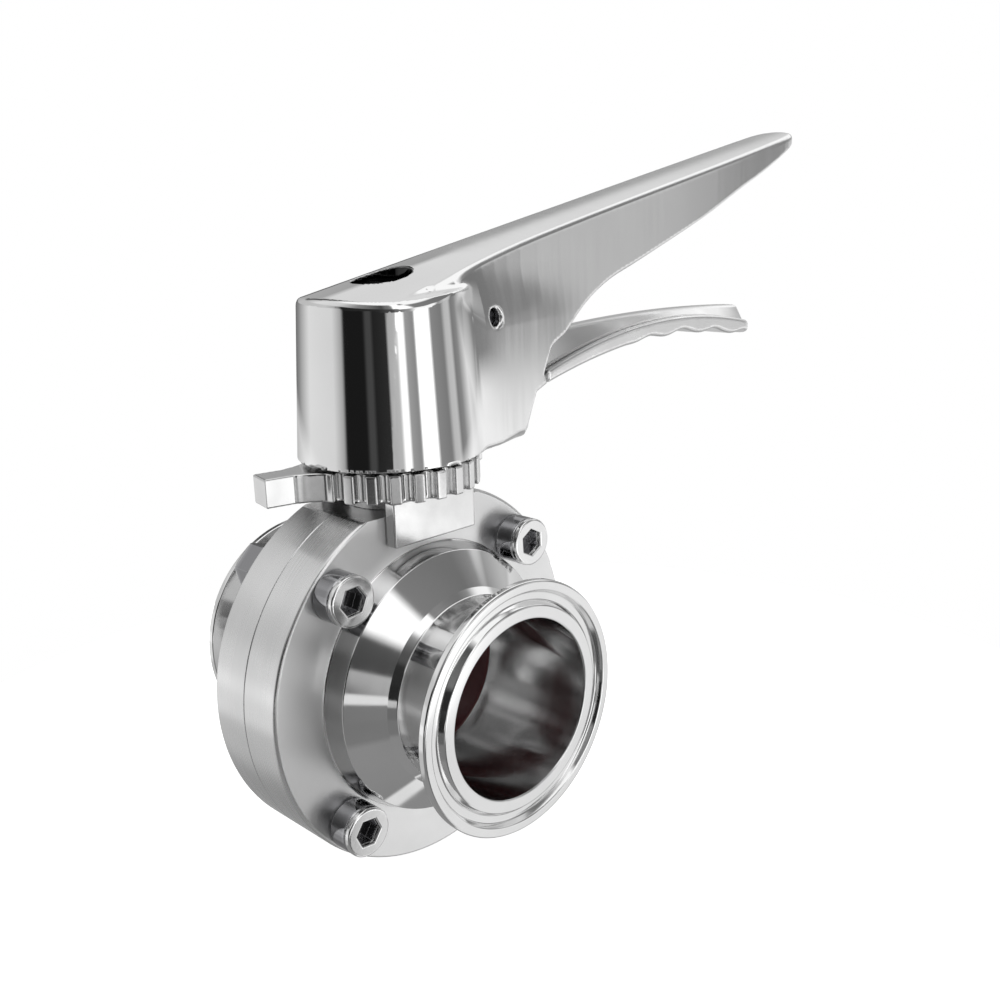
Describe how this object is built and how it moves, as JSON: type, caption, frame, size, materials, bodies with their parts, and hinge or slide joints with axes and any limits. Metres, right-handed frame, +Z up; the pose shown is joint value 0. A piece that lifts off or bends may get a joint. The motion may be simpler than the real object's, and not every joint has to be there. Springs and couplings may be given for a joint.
{
  "type": "butterfly valve",
  "caption": "Sanitary butterfly valve with clamp ferrule ends, a silicone seat, a notched locking plate and a long handle with a squeeze trigger.",
  "frame": {"origin": "where the pipe axis crosses the stem axis, in the joint plane of the two body halves", "axes": "+Y along the pipe towards the rear port, +Z up the stem, +X along the handle with the valve closed"},
  "size_m": [0.178, 0.071, 0.1477],
  "materials": {
    "body_steel": "turned and polished stainless steel",
    "plate_steel": "cast and tumbled stainless steel",
    "disc_steel": "polished stainless steel",
    "handle_steel": "polished hub, satin arm, stainless steel casting",
    "trigger_steel": "satin stainless steel casting",
    "fastener_steel": "plain stainless steel",
    "spring_steel": "drawn spring wire",
    "silicone": "smooth moulded silicone, dark red",
    "bush_plastic": "machined plastic"
  },
  "bodies": {
    "body": {"front_body": "body_steel", "rear_body": "body_steel", "seat_ring": "silicone", "upper_bush": "bush_plastic", "lower_bush": "bush_plastic", "body_bolt_1": "fastener_steel", "body_bolt_2": "fastener_steel", "body_bolt_3": "fastener_steel", "body_bolt_4": "fastener_steel", "body_nut_1": "fastener_steel", "body_nut_2": "fastener_steel", "body_nut_3": "fastener_steel", "body_nut_4": "fastener_steel", "notch_plate": "plate_steel"},
    "handle": {"valve_disc": "disc_steel", "handle_body": "handle_steel", "handle_screw": "fastener_steel", "screw_washer": "fastener_steel", "pivot_pin": "fastener_steel", "trigger_spring": "spring_steel"},
    "trigger": {"trigger": "trigger_steel"}
  },
  "joints": [
    {"name": "handle_turn", "type": "hinge", "parent": "body", "child": "handle", "pos_m": [0, 0, 0], "axis": [0, 0, 1], "range_deg": [0, 90]},
    {"name": "trigger_squeeze", "type": "hinge", "parent": "handle", "child": "trigger", "pos_m": [0.0175, 0, 0.0712], "axis": [0, -1, 0], "range_deg": [0, 9], "stiffness_Nm_per_rad": 1.5, "springref_deg": -20.05, "deforming": ["trigger_spring"]}
  ]
}
